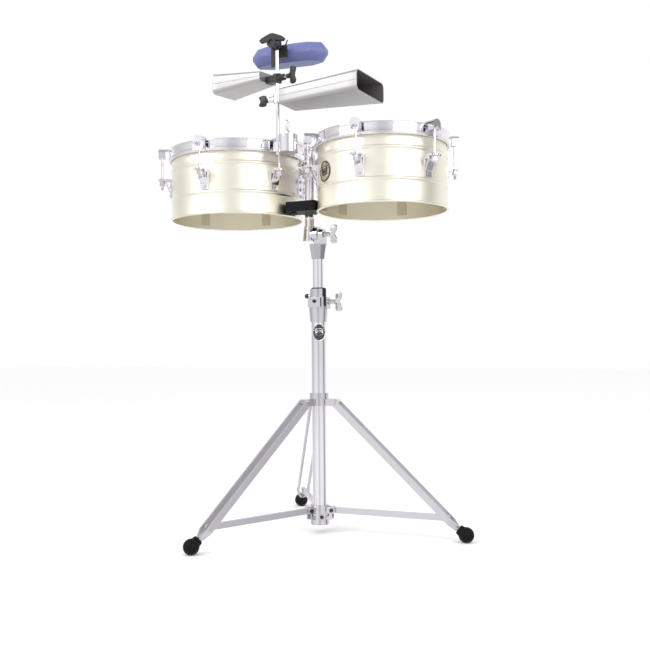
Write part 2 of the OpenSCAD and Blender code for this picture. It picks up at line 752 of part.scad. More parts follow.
module rail() {
    color([0.86, 0.86, 0.88]) at_rail() translate([0, 0, holder_low - 4])
        cylinder(r = rail_r, h = rail_top - holder_low + 4);
}

// Bell open at its far end: it widens from the closed end to the mouth
module bell(l, w0, h0, w1, h1, drop, wall) {
    difference() {
        hull() {
            bell_section(0, w0, h0, 5, drop);
            bell_section(l, w1, h1, 9, 0);
        }
        hull() {
            bell_section(wall, w0 - 2 * wall, h0 - 2 * wall, 4, drop);
            bell_section(l + 1, w1 - 2 * wall, h1 - 2 * wall, 8, 0);
        }
    }
}
module bell_section(x, w, h, r, up) {
    translate([x, 0, up]) for (sy = [-1, 1], sz = [-1, 1]) {
        translate([0, sy * (w / 2 - r), sz * (h / 2 - r)]) along_x(r, 0.5);
    }
}
// Ring on the rod with a boss for the wing bolt and a tongue towards the bell
module bell_clamp(z, reach) {
    difference() {
        union() {
            translate([0, 0, z - 11]) cylinder(r = 11, h = 22);
            translate([-24, 0, z]) along_x(8, 24);
            translate([6, -9, z - 9]) cube([reach - 6, 18, 18]);
        }
        translate([0, 0, z - 30]) cylinder(r = rail_r + run, h = 60, $fn = 48);
        translate([-40, 0, z]) along_x(wing_bolt_r + run, 40);
    }
}

module turned(a) at_rail() rotate([0, 0, a]) children();

module small_bell() {
    color([0.75, 0.74, 0.75]) turned(small_bell_turn) translate([33, 0, small_bell_z + 13])
        bell(small_bell_l, 64, 26, 92, 54, -6, 1.8);
}
module small_bell_clamp() color([0.1, 0.1, 0.11]) turned(small_bell_turn) bell_clamp(small_bell_z, 33);
module small_bell_wing() {
    color([0.07, 0.07, 0.08]) turned(small_bell_turn) translate([-rail_r - gap, 0, small_bell_z])
        rotate([0, 0, 180]) wing_bolt(28, 10, 45, 20);
}

module big_bell() {
    color([0.75, 0.74, 0.75]) turned(big_bell_turn) translate([28, 0, big_bell_z - 6])
        bell(big_bell_l, 86, 40, 152, 50, 0, 2);
}
module big_bell_clamp() color([0.8, 0.8, 0.82]) turned(big_bell_turn) bell_clamp(big_bell_z, 28);
module big_bell_wing() {
    color([0.07, 0.07, 0.08]) turned(big_bell_turn) translate([-rail_r - gap, 0, big_bell_z])
        rotate([0, 0, 180]) wing_bolt(20, 8, 29, 24);
}

module block_plan(inset) {
    e = block_l / 2 - inset;
    w = block_w / 2 - inset;
    polygon([
        [-e, 8], [-e, -8], [-e + 34, -w], [e - 34, -w],
        [e, -8], [e, 8], [e - 34, w], [-e + 34, w]
    ]);
}
module block() {
    color([0.15, 0.2, 0.62]) turned(block_turn) translate([block_off, 26 + block_w / 2, block_z])
        difference() {
            hull() {
                translate([0, 0, -block_h / 2]) linear_extrude(1) block_plan(14);
                translate([0, 0, -5]) linear_extrude(10) block_plan(0);
                translate([0, 0, block_h / 2 - 1]) linear_extrude(1) block_plan(14);
            }
            // Sound slot, open to the back
            translate([-62, -22, -4]) cube([124, block_w, 8]);
        }
}

// Plate behind the rod with a ring around the rod and a boss for the T-handle
module block_bracket() {
    color([0.1, 0.1, 0.11]) turned(block_turn) difference() {
        union() {
            translate([0, 0, handle_z - 5.5]) cylinder(r = 11, h = 20);
            translate([-20, 7, block_z - 42]) cube([14, 7, 50]);
            translate([-8, 7, block_z - 22]) cube([30, 7, 32]);
            translate([-12, 13, block_z - 5]) cube([30, 13, 10]);
            translate([0, 0, handle_z]) rotate([90, 0, 0]) cylinder(r = 9, h = 25);
            // Stop pin
            translate([15, 12, block_z + 6]) rotate([0, 25, 0]) cylinder(r = 1.6, h = 20, $fn = 24);
        }
        translate([0, 0, handle_z - 60]) cylinder(r = rail_r + run, h = 120, $fn = 48);
        translate([0, 0, handle_z]) rotate([90, 0, 0]) cylinder(r = wing_bolt_r + run, h = 60);
    }
}

// Bolt with a round hub and two wings that slope down to their tips
module block_handle() {
    e = handle_span / 2;
    color([0.07, 0.07, 0.08]) turned(block_turn) translate([0, 0, handle_z]) rotate([90, 0, 0])
        difference() {
            union() {
                translate([0, 0, rail_r + gap]) cylinder(r = wing_bolt_r, h = 24);
                translate([0, 0, 26]) cylinder(r = 12, h = 16);
                translate([0, 0, 28]) linear_extrude(10) polygon([
                    [-e, 9], [-e + 4, 3], [-14, 6], [14, 6], [e - 4, 3], [e, 9],
                    [e - 6, 14], [12, 21], [3, 24], [-3, 24], [-12, 21], [-e + 6, 14]
                ]);
            }
            translate([0, 0, 38.5]) cylinder(r = 7.5, h = 10);
        }
}

base_tube();
height_clamp();
clamp_bushing();
clamp_fasteners();
stand_badge();
leg_collar();
collar_rivets();
clamp_wing_nut();
hub();
hub_fasteners();
leg_a();
leg_b();
leg_c();
foot_a();
foot_b();
foot_c();
brace_a();
brace_b();
brace_c();
upper_tube();
tilter_base();
tilter_bolt();
tilter_wing_nut();
tilter_socket();
drum_post();
rest_bar();
left_shell();
left_head();
left_hoop();
left_hooks();
left_tension_nuts();
left_lugs();
left_strips();
left_screws();
left_bracket();
left_wing_bolt();
right_shell();
right_head();
right_hoop();
right_hooks();
right_tension_nuts();
right_lugs();
right_strips();
right_screws();
right_bracket();
right_wing_bolt();
drum_badge();
holder();
holder_wing_bolt();
rail();
small_bell();
small_bell_clamp();
small_bell_wing();
big_bell();
big_bell_clamp();
big_bell_wing();
block();
block_bracket();
block_handle();
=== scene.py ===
import json
import math
import bmesh
import bpy
from mathutils import Matrix, Vector


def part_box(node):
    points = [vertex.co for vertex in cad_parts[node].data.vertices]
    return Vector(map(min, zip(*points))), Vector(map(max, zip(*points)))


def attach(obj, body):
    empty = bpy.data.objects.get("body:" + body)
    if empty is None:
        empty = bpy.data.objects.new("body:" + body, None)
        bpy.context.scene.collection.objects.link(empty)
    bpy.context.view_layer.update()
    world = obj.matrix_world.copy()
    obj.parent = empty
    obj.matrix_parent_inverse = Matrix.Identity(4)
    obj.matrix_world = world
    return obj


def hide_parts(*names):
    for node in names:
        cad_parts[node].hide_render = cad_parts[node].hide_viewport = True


MM = 0.001

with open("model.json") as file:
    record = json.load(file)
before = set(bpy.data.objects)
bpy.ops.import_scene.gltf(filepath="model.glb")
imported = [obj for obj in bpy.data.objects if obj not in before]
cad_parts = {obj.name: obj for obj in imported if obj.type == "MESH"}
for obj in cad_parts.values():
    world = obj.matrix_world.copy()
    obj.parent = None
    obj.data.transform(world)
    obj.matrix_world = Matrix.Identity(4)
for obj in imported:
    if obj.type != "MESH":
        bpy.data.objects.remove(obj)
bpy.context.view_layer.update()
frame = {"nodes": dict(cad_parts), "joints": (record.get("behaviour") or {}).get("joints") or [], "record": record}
nodes = frame["nodes"]
joints = {j["name"]: j for j in frame["joints"]}


# ---------- where things are ----------

def mid(name):
    lo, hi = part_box(name)
    return (lo + hi) / 2


SX, SY = mid("base_tube").xy
RAIL = Vector((*mid("rail").xy, 0))


# ---------- materials ----------

BUMP_HEIGHT = 0.0006
COAT_ROUGHNESS = 0.05


def material(name, base, metallic, rough, rough_var, scale, tint, bump=0.0,
             bump_scale=300.0, coat=0.0, spec=0.5, stretch=(1, 1, 1)):
    """Noise of the given scale varies the colour by tint and the roughness by rough_var."""
    m = bpy.data.materials.new(name)
    m.use_nodes = True
    nt = m.node_tree
    nt.nodes.clear()
    out = nt.nodes.new("ShaderNodeOutputMaterial")
    bs = nt.nodes.new("ShaderNodeBsdfPrincipled")
    nt.links.new(bs.outputs[0], out.inputs[0])
    tc = nt.nodes.new("ShaderNodeTexCoord")
    mp = nt.nodes.new("ShaderNodeMapping")
    mp.inputs["Scale"].default_value = stretch
    nt.links.new(tc.outputs["Object"], mp.inputs["Vector"])
    no = nt.nodes.new("ShaderNodeTexNoise")
    no.inputs["Scale"].default_value = scale
    no.inputs["Detail"].default_value = 4
    nt.links.new(mp.outputs[0], no.inputs["Vector"])
    cr = nt.nodes.new("ShaderNodeMix")
    cr.data_type = "RGBA"
    a = [max(0, c * (1 - tint)) for c in base] + [1]
    b = [min(1, c * (1 + tint)) for c in base] + [1]
    cr.inputs["A"].default_value = a
    cr.inputs["B"].default_value = b
    nt.links.new(no.outputs["Fac"], cr.inputs["Factor"])
    nt.links.new(cr.outputs["Result"], bs.inputs["Base Color"])
    mr = nt.nodes.new("ShaderNodeMapRange")
    mr.inputs["To Min"].default_value = max(0.0, rough - rough_var)
    mr.inputs["To Max"].default_value = rough + rough_var
    nt.links.new(no.outputs["Fac"], mr.inputs["Value"])
    nt.links.new(mr.outputs[0], bs.inputs["Roughness"])
    bs.inputs["Metallic"].default_value = metallic
    bs.inputs["Specular IOR Level"].default_value = spec
    if coat:
        bs.inputs["Coat Weight"].default_value = coat
        bs.inputs["Coat Roughness"].default_value = COAT_ROUGHNESS
    if bump:
        bn = nt.nodes.new("ShaderNodeTexNoise")
        bn.inputs["Scale"].default_value = bump_scale
        bn.inputs["Detail"].default_value = 3
        nt.links.new(mp.outputs[0], bn.inputs["Vector"])
        bp = nt.nodes.new("ShaderNodeBump")
        bp.inputs["Strength"].default_value = bump
        bp.inputs["Distance"].default_value = BUMP_HEIGHT
        nt.links.new(bn.outputs["Fac"], bp.inputs["Height"])
        nt.links.new(bp.outputs[0], bs.inputs["Normal"])
    return m


CHROME = material("chrome", (0.86, 0.835, 0.885), 1.0, 0.07, 0.02, 30, 0.015)
CAST = material("cast_chrome", (0.82, 0.795, 0.845), 1.0, 0.12, 0.04, 60, 0.03,
                bump=0.05, bump_scale=120)
STAND_CAST = material("stand_castings", (0.66, 0.64, 0.68), 1.0, 0.13, 0.05, 60, 0.05,
                      bump=0.08, bump_scale=120)
STEEL = material("steel", (0.6, 0.6, 0.62), 1.0, 0.3, 0.06, 80, 0.05)
LEG = material("leg_chrome", (0.69, 0.665, 0.715), 1.0, 0.37, 0.04, 40, 0.03)
DARK_STEEL = material("dark_steel", (0.09, 0.088, 0.095), 1.0, 0.25, 0.06, 80, 0.1)
BRASS = material("shell_brass", (0.985, 0.945, 0.83), 1.0, 0.38, 0.03, 14, 0.02, stretch=(1, 1, 6))
# Strips inside the drum: the shell's brass made darker, the darkening being painted shade inside the drum.
BRASS_WITH_PAINTED_SHADE = material("strip_brass_painted_shade", (0.8, 0.72, 0.62), 1.0, 0.3, 0.05, 60, 0.06)
BELL = material("bell_steel", (0.54, 0.525, 0.53), 1.0, 0.48, 0.05, 90, 0.05, stretch=(0.3, 1, 1))
BELL_DARK = material("bell_inside", (0.09, 0.085, 0.087), 0.0, 0.5, 0.05, 60, 0.2)
HEAD = material("drumhead", (0.86, 0.86, 0.82), 0.0, 0.55, 0.05, 200, 0.02,
                bump=0.3, bump_scale=1500)
RUBBER = material("rubber", (0.007, 0.007, 0.008), 0.0, 0.5, 0.06, 120, 0.2,
                  bump=0.25, bump_scale=700, spec=0.12)
BLACK = material("black_metal", (0.02, 0.02, 0.022), 0.0, 0.36, 0.05, 120, 0.2,
                 bump=0.1, bump_scale=500, spec=0.35)
NYLON = material("black_nylon", (0.015, 0.015, 0.017), 0.0, 0.4, 0.05, 120, 0.2, spec=0.25)
BADGE = material("badge_black", (0.03, 0.03, 0.035), 0.0, 0.2, 0.03, 60, 0.2, coat=0.5)
BADGE_BRASS = material("badge_brass", (0.6, 0.52, 0.36), 1.0, 0.3, 0.05, 90, 0.1)
BLUE = material("block_blue", (0.15, 0.165, 0.38), 0.0, 0.34, 0.04, 60, 0.1,
                bump=0.06, bump_scale=250, spec=0.4)


SLOT_MATERIAL = {"chrome": CHROME, "steel": STEEL, "shell_brass": BRASS, "badge_brass": BADGE_BRASS,
                 "bell_steel": BELL, "black_nylon": NYLON, "badge_black": BADGE, "drumhead": HEAD,
                 "black_metal": BLACK, "block_blue": BLUE, "rubber": RUBBER}
slot_of = {s["node"]: s["material_slot"] for s in frame["record"]["subparts"]}
CASTINGS = {"left_bracket", "right_bracket", "holder", "clamp_wing_nut", "tilter_wing_nut",
            "left_lugs", "right_lugs", "left_hooks", "right_hooks"}
for name, o in nodes.items():
    o.data.materials.clear()
    o.data.materials.append(CAST if name in CASTINGS else SLOT_MATERIAL[slot_of[name]])
for surface_material, names in (
        # the inside strips take the brass made darker as painted shade
        (BRASS_WITH_PAINTED_SHADE, ("left_strips", "right_strips")),
        (STAND_CAST, ("height_clamp", "leg_collar", "hub", "tilter_base", "tilter_socket", "collar_rivets")),
        (LEG, ("leg_a", "leg_b", "leg_c", "brace_a", "brace_b", "brace_c")),
        (DARK_STEEL, ("clamp_fasteners", "hub_fasteners"))):
    for name in names:
        nodes[name].data.materials[0] = surface_material


# ---------- building shapes ----------

def place(origin, x, z):
    """A matrix whose Z axis runs along z and whose X axis is as near x as it can be."""
    z = Vector(z).normalized()
    x = Vector(x)
    x = (x - z * x.dot(z)).normalized()
    y = z.cross(x)
    return Matrix.Translation(Vector(origin)) @ Matrix((x, y, z)).transposed().to_4x4()


WELD_DISTANCE = 1e-6


def turned(origin, degrees):
    return Matrix.Translation(Vector(origin)) @ Matrix.Rotation(math.radians(degrees), 4, "Z")


def add(name, verts, faces, mat, body, matrix, smooth, slot=None, stands_for=()):
    """A piece that moves with body. Edges sharper than smooth degrees stay hard, and 0 rounds them all."""
    me = bpy.data.meshes.new(name)
    me.from_pydata([tuple(v) for v in verts], [], faces)
    me.update()
    bm = bmesh.new()
    bm.from_mesh(me)
    bmesh.ops.remove_doubles(bm, verts=bm.verts, dist=WELD_DISTANCE)
    bmesh.ops.recalc_face_normals(bm, faces=bm.faces)
    bm.to_mesh(me)
    bm.free()
    o = bpy.data.objects.new(name, me)
    bpy.context.scene.collection.objects.link(o)
    me.transform(matrix)
    me.materials.append(mat)
    for p in me.polygons:
        p.use_smooth = True
    if smooth:
        me.set_sharp_from_angle(angle=math.radians(smooth))
    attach(o, body)
    if stands_for:
        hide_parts(*stands_for)


def merged(parts):
    """One list of points and faces from several."""
    verts, faces = [], []
    for v, f in parts:
        n = len(verts)
        verts += list(v)
        faces += [tuple(i + n for i in q) for q in f]
    return verts, faces


def moved(part, matrix):
    return [matrix @ Vector(v) for v in part[0]], part[1]


def lathe(profile, n=96, closed=False):
    """Revolves (radius, height) points about Z. Points at radius 0 close the ends."""
    verts, faces = [], []
    m = len(profile)
    for i in range(n):
        c, s = math.cos(2 * math.pi * i / n), math.sin(2 * math.pi * i / n)
        verts += [(r * c, r * s, z) for r, z in profile]
    for i in range(n):
        j = (i + 1) % n
        for k in range(m if closed else m - 1):
            l = (k + 1) % m
            a, b, c2, d = i * m + k, j * m + k, j * m + l, i * m + l
            if profile[k][0] < 1e-9:
                faces.append((a, c2, d))
            elif profile[l][0] < 1e-9:
                faces.append((a, b, d))
            else:
                faces.append((a, b, c2, d))
    return verts, faces


ROUND = 0.3  # how far the middle of a rounded edge stays from its corner, in edge radii


def cylinder(r, z0, z1, n, edge):
    e = min(edge, r * 0.5, abs(z1 - z0) * 0.45)
    return lathe([(0, z0), (r - e, z0), (r - e * ROUND, z0 + e * ROUND), (r, z0 + e),
                  (r, z1 - e), (r - e * ROUND, z1 - e * ROUND), (r - e, z1), (0, z1)], n)


def loft(sections):
    """Skins rings of equal length. Caps the first and the last."""
    verts = [v for s in sections for v in s]
    m, faces = len(sections[0]), []
    rows = len(sections)
    for r in range(rows - 1):
        q = r + 1
        for k in range(m):
            l = (k + 1) % m
            faces.append((r * m + k, r * m + l, q * m + l, q * m + k))
    faces.append(tuple(reversed(range(m))))
    faces.append(tuple((rows - 1) * m + k for k in range(m)))
    return verts, faces


def rounded(w, h, r, n):
    """Corner-rounded rectangle as (a, b) points, counter-clockwise, centred."""
    r = min(r, w / 2 - 1e-6, h / 2 - 1e-6)
    pts = []
    for cx, cy, a0 in ((w / 2 - r, h / 2 - r, 0), (-w / 2 + r, h / 2 - r, 90),
                       (-w / 2 + r, -h / 2 + r, 180), (w / 2 - r, -h / 2 + r, 270)):
        for i in range(n + 1):
            a = math.radians(a0 + 90 * i / n)
            pts.append((cx + r * math.cos(a), cy + r * math.sin(a)))
    return pts


def ellipse(w, h, n):
    return [(w / 2 * math.cos(2 * math.pi * i / n), h / 2 * math.sin(2 * math.pi * i / n))
            for i in range(n)]


def slab(outline, z0, z1, edge):
    """Prism from an outline in X and Y, its top and bottom edges rounded."""
    def ring(shrink, z):
        n, res = len(outline), []
        for i, (x, y) in enumerate(outline):
            (xa, ya), (xb, yb) = outline[i - 1], outline[(i + 1) % n]
            tx, ty = xb - xa, yb - ya
            l = math.hypot(tx, ty) or 1
            res.append((x - shrink * ty / l, y + shrink * tx / l, z))
        return res
    return loft([ring(edge, z0), ring(edge * ROUND, z0 + edge * ROUND), ring(0, z0 + edge),
                 ring(0, z1 - edge), ring(edge * ROUND, z1 - edge * ROUND), ring(edge, z1)])


def sweep(path, outline):
    """Moves an outline (a, b) along a path of points: a goes sideways, b goes up."""
    secs = []
    for i, p in enumerate(path):
        p = Vector(p)
        t = (Vector(path[min(i + 1, len(path) - 1)]) - Vector(path[max(i - 1, 0)])).normalized()
        s = t.cross(Vector((0, 0, 1))).normalized()
        u = s.cross(t)
        secs.append([p + s * a + u * b for a, b in outline])
    return loft(secs)


def rings_of(pairs):
    return [(r * MM, z * MM) for r, z in pairs]


def arc(cx, cz, r, a0, a1, n):
    angles = [math.radians(a0 + (a1 - a0) * i / n) for i in range(n + 1)]
    return [(cx + r * math.cos(a), cz + r * math.sin(a)) for a in angles]


# ---------- drums ----------

LUGS = (31.5, 91.5, 151.5, 211.5, 271.5, 331.5)
WALL = 1.6
BEADS = (58, 133)         # height of each bead over the shell's lower edge
BEAD_HALF = 5
BEAD_OUT = 2.4
ROD_OUT = 26              # from the shell's wall to a tension rod
ROD_R = 3.0
THREAD_FROM, THREAD_TO, THREAD_STEP = 914.2, 941, 1.1


def shell_profile(r, low, high):
    """Wall of the shell as a closed loop of (radius, height), beads and rolled edge included."""
    beads = [low + b for b in BEADS]

    def bead(z, base):
        for b in beads:
            t = abs(z - b) / BEAD_HALF
            if t < 1:
                base += BEAD_OUT * math.cos(t * math.pi / 2) ** 1.3
        return base
    zs = [low + 7]
    for b in beads:
        zs += [b - 7] + [b + BEAD_HALF * (k / 9) for k in range(-9, 10)] + [b + 7]
    zs.append(high - 0.6)
    outer = [(bead(z, r), z) for z in zs]
    inner = [(bead(z, r - WALL), z) for z in zs]
    roll = arc(r + 0.6, low + 3, 3, -170, 95, 14)
    lip = [(r - 0.4, high), (r - 1.2, high), (r - WALL, high - 0.6)]
    return inner[::-1][1:] + [(r - WALL, low + 5), (r - 1.9, low + 3)] + roll + outer + lip


def rod_thread(r):
    """Thread on the lower end of a tension rod, as a thin sleeve around the plain rod."""
    prof, z = [(ROD_R, THREAD_FROM)], THREAD_FROM + 0.4
    while z < THREAD_TO:
        prof += [(ROD_R + 0.35, z), (ROD_R + 0.05, z + THREAD_STEP / 2)]
        z += THREAD_STEP
    prof += [(ROD_R, z)]
    return moved(lathe(rings_of(prof), 20), Matrix.Translation(((r + ROD_OUT) * MM, 0, 0)))


def nut(r, shelf):
    """Tension nut with its washer, under the lug's shelf."""
    hexa = ellipse(14.6 * MM, 14.6 * MM, 6)
    body = slab(hexa, (shelf - 13) * MM, (shelf - 2.4) * MM, 0.8 * MM)
    washer = cylinder(8.4 * MM, (shelf - 2.4) * MM, (shelf - 0.1) * MM, 36, 0.7 * MM)
    cap = lathe(rings_of([(0, shelf - 15), (3.6, shelf - 15), (4.6, shelf - 14.2),
                          (4.8, shelf - 12.5), (0, shelf - 12.5)]), 24)
    return moved(merged([body, washer, cap]), Matrix.Translation(((r + ROD_OUT) * MM, 0, 0)))


def around(part, angles):
    return merged([moved(part, Matrix.Rotation(math.radians(a), 4, "Z")) for a in angles])


HEAD_OVER = 5.2           # how far the head reaches past the shell
FILM_OVER = 0.8           # height of the head's top over its collar
# Section of the counterhoop: (distance from the shell, height over the head's collar)
HOOP = ([(2.9, -6.9), (5.0, -7.0), (5.7, -7.6), (5.8, -12.4), (6.2, -13.0), (9.0, -13.0), (9.6, -12.4),
         (9.6, -5.4), (9.3, -4.6), (8.4, -4.0), (8.2, -3.2), (8.2, 13.2)] + arc(7.2, 15.4, 2.6, -50, 215, 12)
        + [(5.9, 13.0), (5.8, -3.0), (4.8, -4.4), (2.9, -4.5)])


def drum(side, facing):
    """Shell, hoop, rod threads and nuts. Says the drum's matrix and its radius."""
    body = side + "_drum"
    lo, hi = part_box(side + "_head")
    centre = Vector(((lo.x + hi.x) / 2, (lo.y + hi.y) / 2, 0))
    r = (hi.x - lo.x) / 2 / MM - HEAD_OVER
    slo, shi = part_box(side + "_shell")
    low, high = slo.z / MM, shi.z / MM
    at = turned(centre, facing)
    shell = lathe(rings_of(shell_profile(r, low, high)), 256, closed=True)
    add(side + "_shell_skin", *shell, BRASS, body, at, 60, slot="shell_brass", stands_for=(side + "_shell",))
    base = hi.z / MM - FILM_OVER
    hoop = lathe(rings_of([(r + a, base + b) for a, b in HOOP]), 256, closed=True)
    add(side + "_hoop_skin", *hoop, CHROME, body, at, 60, slot="chrome", stands_for=(side + "_hoop",))
    add(side + "_rod_threads", *around(rod_thread(r), LUGS), STEEL, body, at, 40, slot="steel")
    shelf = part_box(side + "_tension_nuts")[1].z / MM
    add(side + "_nuts", *around(nut(r, shelf), LUGS), CHROME, body, at, 35, slot="chrome",
        stands_for=(side + "_tension_nuts",))
    return at, r


drum("left", 0)
right_at, right_r = drum("right", 180)


# ---------- wing nuts and wing bolts ----------

WING_THICK = 5


def wing_blade(half, r_edge):
    """Flat wing whose outline is in X and Z, with a soft edge. half is its upper half, to the middle."""
    wing = half + [(x, -z) for x, z in half[::-1][1:-2]]
    pts = smooth_loop(clockwise(wing), 5)
    part = slab([(x * MM, z * MM) for x, z in pts], -WING_THICK / 2 * MM, WING_THICK / 2 * MM, r_edge * MM)
    return moved(part, Matrix.Rotation(math.radians(90), 4, "X"))


def smooth_loop(points, n):
    """Catmull-Rom curve around the points."""
    p = [Vector((a, b, 0)) for a, b in points]
    out, m = [], len(p)
    for i in range(m):
        a, b, c, d = p[i - 1], p[i], p[(i + 1) % m], p[(i + 2) % m]
        for k in range(n):
            t = k / n
            q = 0.5 * ((2 * b) + (c - a) * t + (2 * a - 5 * b + 4 * c - d) * t * t
                       + (3 * b - a - 3 * c + d) * t ** 3)
            out.append((q.x, q.y))
    return out


def clockwise(points):
    area2 = sum(points[i - 1][0] * points[i][1] - points[i][0] * points[i - 1][1]
                for i in range(len(points)))
    return points if area2 > 0 else points[::-1]


def along_x(part):
    return moved(part, Matrix.Rotation(math.radians(90), 4, "Y"))


def wing_nut(l, span):
    """Along X from 0, its wings in X and Z."""
    h, hub = span / 2, 7.6
    blade = wing_blade([(3, -5), (3, 5), (l * 0.36, 5.6), (l * 0.49, h * 0.34), (l * 0.5, h * 0.78),
                        (l * 0.58, h * 0.95), (l * 0.78, h), (l * 0.96, h * 0.95), (l, h * 0.75),
                        (l * 0.98, h * 0.42), (l * 0.9, h * 0.2), (l * 0.84, 0)], 1.5)
    boss = lathe(rings_of([(0, 0), (hub - 0.8, 0), (hub, 0.8), (hub, 3), (hub - 0.9, 4.2),
                           (hub - 1.7, l * 0.4), (hub - 2.6, l * 0.46), (0, l * 0.46)]), 32)
    return merged([blade, along_x(boss)])


def wing_bolt(shank, hub, span, wide):
    """Along X from its tip at 0, its wings in X and Z. The threaded shank is a piece of its own."""
    h, x0, end = span / 2, shank + hub - 1, shank + hub
    blade = wing_blade([(x0 - 3, -4), (x0 - 3, 4), (x0 + wide * 0.05, h * 0.45), (x0 + wide * 0.1, h * 0.85),
                        (x0 + wide * 0.45, h * 0.99), (x0 + wide * 0.86, h * 0.88),
                        (x0 + wide * 0.97, h * 0.6), (x0 + wide * 0.86, h * 0.3), (x0 + wide * 0.78, 0)], 1.4)
    boss = lathe(rings_of([(0, shank), (5.2, shank), (6, shank + 0.8), (5.8, shank + hub * 0.6),
                           (4.6, end), (0, end)]), 28)
    prof, z = [(0, 0.2), (ROD_R - 0.6, 0.2)], 0.8
    while z < shank:
        prof += [(ROD_R, z), (ROD_R - 0.4, z + 0.5)]
        z += 1.0
    rod = along_x(lathe(rings_of(prof + [(0, z)]), 20))
    return merged([blade, along_x(boss)]), rod


def add_wing_nut(name, node, body):
    lo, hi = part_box(node)
    part = wing_nut((hi.x - lo.x) / MM + 1.5, (hi.z - lo.z) / MM)
    at = Matrix.Translation((lo.x, (lo.y + hi.y) / 2, (lo.z + hi.z) / 2))
    add(name, *part, STAND_CAST, body, at, 45, slot="chrome", stands_for=(node,))


def add_bolt(name, node, body, matrix, sizes, surface_material, slot_name):
    head, rod = wing_bolt(*sizes)
    add(name + "_wings", *head, surface_material, body, matrix, 45, slot=slot_name, stands_for=(node,))
    add(name + "_thread", *rod, STEEL, body, matrix, 45, slot="steel")


def side_bolt(name, joint, node, back, sizes, surface_material, slot_name):
    """A level wing bolt whose tip is `back` behind the joint's point, along its axis."""
    j = joints[joint]
    axis = Vector(j["axis"])
    matrix = place(Vector(j["pos_m"]) - axis * back * MM, axis, (0, 0, 1))
    add_bolt(name, node, j["child"], matrix, sizes, surface_material, slot_name)


add_wing_nut("clamp_wing", "clamp_wing_nut", "clamp_nut")
add_wing_nut("tilter_wing", "tilter_wing_nut", "tilter_nut")
# Sizes of a bolt: shank, boss, span of the wings, length of the wings
POST_BOLT, SMALL_BELL_BOLT = (13.3, 6, 20, 12), (28, 10, 45, 20)
BIG_BELL_BOLT, HOLDER_BOLT = (20, 8, 29, 24), (26, 8, 34, 28)
POST_BACK, RAIL_BACK = 17, 20 - 5.1
HOLDER_BOLT_TURN = math.radians(284)
side_bolt("left_post_bolt", "left_wing_turn", "left_wing_bolt", POST_BACK, POST_BOLT, CHROME, "chrome")
side_bolt("right_post_bolt", "right_wing_turn", "right_wing_bolt", POST_BACK, POST_BOLT, CHROME, "chrome")
side_bolt("small_bell_bolt", "small_bell_wing_turn", "small_bell_wing", RAIL_BACK, SMALL_BELL_BOLT,
          BLACK, "black_metal")
side_bolt("big_bell_bolt", "big_bell_wing_turn", "big_bell_wing", RAIL_BACK, BIG_BELL_BOLT,
          BLACK, "black_metal")
low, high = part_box("holder_wing_bolt")
add_bolt("holder_bolt", "holder_wing_bolt", "holder_bolt",
         place(((low.x + high.x) / 2, (low.y + high.y) / 2, low.z), (0, 0, 1),
               (math.cos(HOLDER_BOLT_TURN), math.sin(HOLDER_BOLT_TURN), 0)),
         HOLDER_BOLT, CHROME, "chrome")


# ---------- bells ----------

BELL_WALL = 1.8
BIG_BELL_TURN, SMALL_BELL_TURN = -4, 165


def bell(name, origin, turn, l, w0, h0, w1, h1, drop):
    """Seamed bell: closed end at X = 0, mouth at X = l. The inside is a skin of its own."""
    inside = -2 * BELL_WALL

    def section(x, grow, r):
        t = x / l
        w, h, up = w0 + (w1 - w0) * t + grow, h0 + (h1 - h0) * t + grow, drop * (1 - t)
        return [(x * MM, a * MM, (up + b) * MM) for a, b in rounded(w, h, r, 9)]
    outer = [section(0.6, -5, 5), section(0.1, -2.4, 6), section(1.4, -0.6, 7), section(3, 0, 8)]
    outer += [section(l * k / 8, 0, 8 + 4 * k / 8) for k in range(1, 8)]
    outer += [section(l - 3, 0, 12), section(l - 1.6, 0.8, 12.4), section(l - 0.6, 0.9, 12.4),
              section(l, 0.2, 12), section(l, inside + 0.6, 11.4)]
    verts, faces = loft(outer)
    m = turned(origin, turn)
    add(name + "_skin", verts, faces[:-1], BELL, name, m, 50, slot="bell_steel", stands_for=(name,))
    verts, faces = loft([section(l, inside + 0.6, 11.4), section(l - 1.5, inside - 0.4, 11),
                         section(l * 0.6, inside, 10), section(BELL_WALL + 1, inside, 8)])
    add(name + "_inside", verts, faces[:-2] + faces[-1:], BELL_DARK, name, m, 50, slot="bell_steel")
    seams = []
    for s in (-1, 1):
        path = [(x * MM, s * (w0 + (w1 - w0) * x / l) / 2 * MM, drop * (1 - x / l) * MM)
                for x in (3, l * 0.5, l - 3)]
        seams.append(sweep(path, ellipse(1.4 * MM, 2.6 * MM, 10)))
    add(name + "_seams", *merged(seams), BELL, name, m, 50, slot="bell_steel")


def on_rail(turn, dist, z):
    a = math.radians(turn)
    return RAIL + Vector((dist * math.cos(a), dist * math.sin(a), z)) * MM


bell("big_bell", on_rail(BIG_BELL_TURN, 28, 1108), BIG_BELL_TURN, 232, 86, 40, 152, 50, 0)
bell("small_bell", on_rail(SMALL_BELL_TURN, 33, 1179), SMALL_BELL_TURN, 156, 64, 26, 92, 54, -6)


# ---------- badges ----------

def wrapped(outline, profile, radius, z):
    """A plate laid on a cylinder about Z: profile is (scale of the outline, height over the cylinder)."""
    n = len(outline)
    verts, faces = [], []
    for scale, height in profile:
        for s, v in outline:
            a, q = s * scale / radius, radius + height
            verts.append((q * math.cos(a) * MM, q * math.sin(a) * MM, (z + v * scale) * MM))
    for k in range(len(profile) - 1):
        for i in range(n):
            j = (i + 1) % n
            faces.append((k * n + i, k * n + j, (k + 1) * n + j, (k + 1) * n + i))
    faces.append(tuple(range(n)))
    return verts, faces


